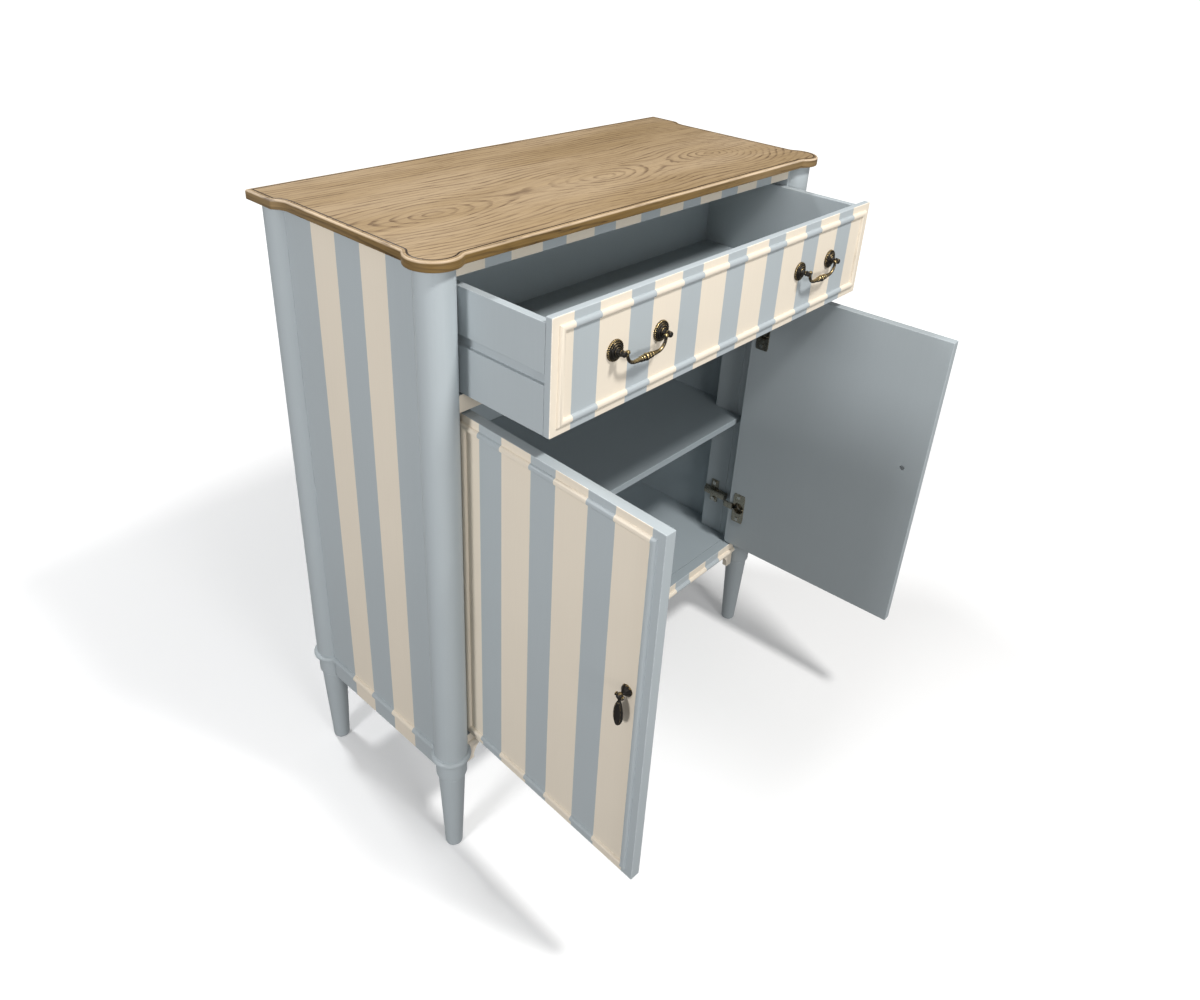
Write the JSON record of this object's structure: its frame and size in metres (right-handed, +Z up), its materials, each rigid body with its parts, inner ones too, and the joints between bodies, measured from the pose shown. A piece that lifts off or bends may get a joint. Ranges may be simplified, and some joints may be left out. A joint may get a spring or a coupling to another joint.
{
  "type": "cabinet",
  "caption": "Striped side cabinet with rounded corner posts, a drawer with bail pulls over inset doors with hanging drop pulls, an inner shelf and turned legs.",
  "frame": {"origin": "on the floor, midway between the sides, in the front plane of the rails", "axes": "+X to the right along the front, +Y to the back, +Z up"},
  "size_m": [0.8, 0.6548, 0.956],
  "materials": {
    "oak_top": "satin lacquer",
    "blue_paint": "satin paint",
    "striped_paint": "satin paint, blue-grey and cream stripes",
    "inside_paint": "matte paint",
    "runner_wood": "bare",
    "aged_brass": "aged, worn bright on the high points",
    "hinge_steel": "dark satin",
    "screw_steel": "plain"
  },
  "bodies": {
    "cabinet": {"top_panel": "oak_top", "front_left_post": "blue_paint", "front_right_post": "blue_paint", "back_left_post": "blue_paint", "back_right_post": "blue_paint", "left_side_panel": "striped_paint", "right_side_panel": "striped_paint", "back_panel": "inside_paint", "top_rail": "striped_paint", "middle_rail": "striped_paint", "bottom_rail": "striped_paint", "back_rail": "inside_paint", "bottom_panel": "inside_paint", "left_base_bead": "striped_paint", "right_base_bead": "striped_paint", "front_base_bead": "striped_paint", "left_bracket": "striped_paint", "right_bracket": "striped_paint", "shelf": "inside_paint", "shelf_pins": "aged_brass", "left_batten": "blue_paint", "right_batten": "blue_paint", "front_left_leg": "blue_paint", "front_right_leg": "blue_paint", "back_left_leg": "blue_paint", "back_right_leg": "blue_paint", "leg_bolts": "screw_steel", "left_runner": "runner_wood", "right_runner": "runner_wood", "drawer_stops": "runner_wood", "top_cleats": "runner_wood", "case_screws": "screw_steel", "left_hinge_arms": "hinge_steel", "right_hinge_arms": "hinge_steel", "hinge_plate_screws": "screw_steel"},
    "drawer": {"drawer_front": "striped_paint", "drawer_left_side": "blue_paint", "drawer_right_side": "blue_paint", "drawer_back": "blue_paint", "drawer_bottom": "inside_paint", "drawer_moulding": "striped_paint", "pull_posts": "aged_brass", "pull_screws": "screw_steel"},
    "left_bail": {"left_bail": "aged_brass"},
    "right_bail": {"right_bail": "aged_brass"},
    "left_door": {"left_door": "striped_paint", "left_door_moulding": "striped_paint", "left_hinge_cups": "hinge_steel", "left_hinge_pins": "screw_steel", "left_pull_base": "aged_brass", "left_door_screws": "screw_steel"},
    "left_drop": {"left_drop": "aged_brass"},
    "right_door": {"right_door": "striped_paint", "right_door_moulding": "striped_paint", "right_hinge_cups": "hinge_steel", "right_hinge_pins": "screw_steel", "right_pull_base": "aged_brass", "right_door_screws": "screw_steel"},
    "right_drop": {"right_drop": "aged_brass"}
  },
  "joints": [
    {"name": "drawer_slide", "type": "slide", "parent": "cabinet", "child": "drawer", "axis": [0, -1, 0], "range_m": [-0.147, 0.053]},
    {"name": "left_bail_swing", "type": "hinge", "parent": "drawer", "child": "left_bail", "pos_m": [-0.196, -0.161, 0.853], "axis": [-1, 0, 0], "range_deg": [-15, 90]},
    {"name": "right_bail_swing", "type": "hinge", "parent": "drawer", "child": "right_bail", "pos_m": [0.196, -0.161, 0.853], "axis": [-1, 0, 0], "range_deg": [-15, 90]},
    {"name": "left_door_hinge", "type": "hinge", "parent": "cabinet", "child": "left_door", "pos_m": [-0.33, 0.0054, 0.4805], "axis": [0, 0, -1], "range_deg": [-92.2, 2.8]},
    {"name": "right_door_hinge", "type": "hinge", "parent": "cabinet", "child": "right_door", "pos_m": [0.33, 0.0054, 0.4805], "axis": [0, 0, 1], "range_deg": [-92.6, 2.4]},
    {"name": "left_drop_swing", "type": "hinge", "parent": "left_door", "child": "left_drop", "pos_m": [-0.35922, -0.289, 0.5155], "axis": [0.0384, 0.9993, 0], "range_deg": [-10, 95]},
    {"name": "right_drop_swing", "type": "hinge", "parent": "right_door", "child": "right_drop", "pos_m": [0.36128, -0.28878, 0.5155], "axis": [0.0454, -0.999, 0], "range_deg": [-10, 95]}
  ]
}
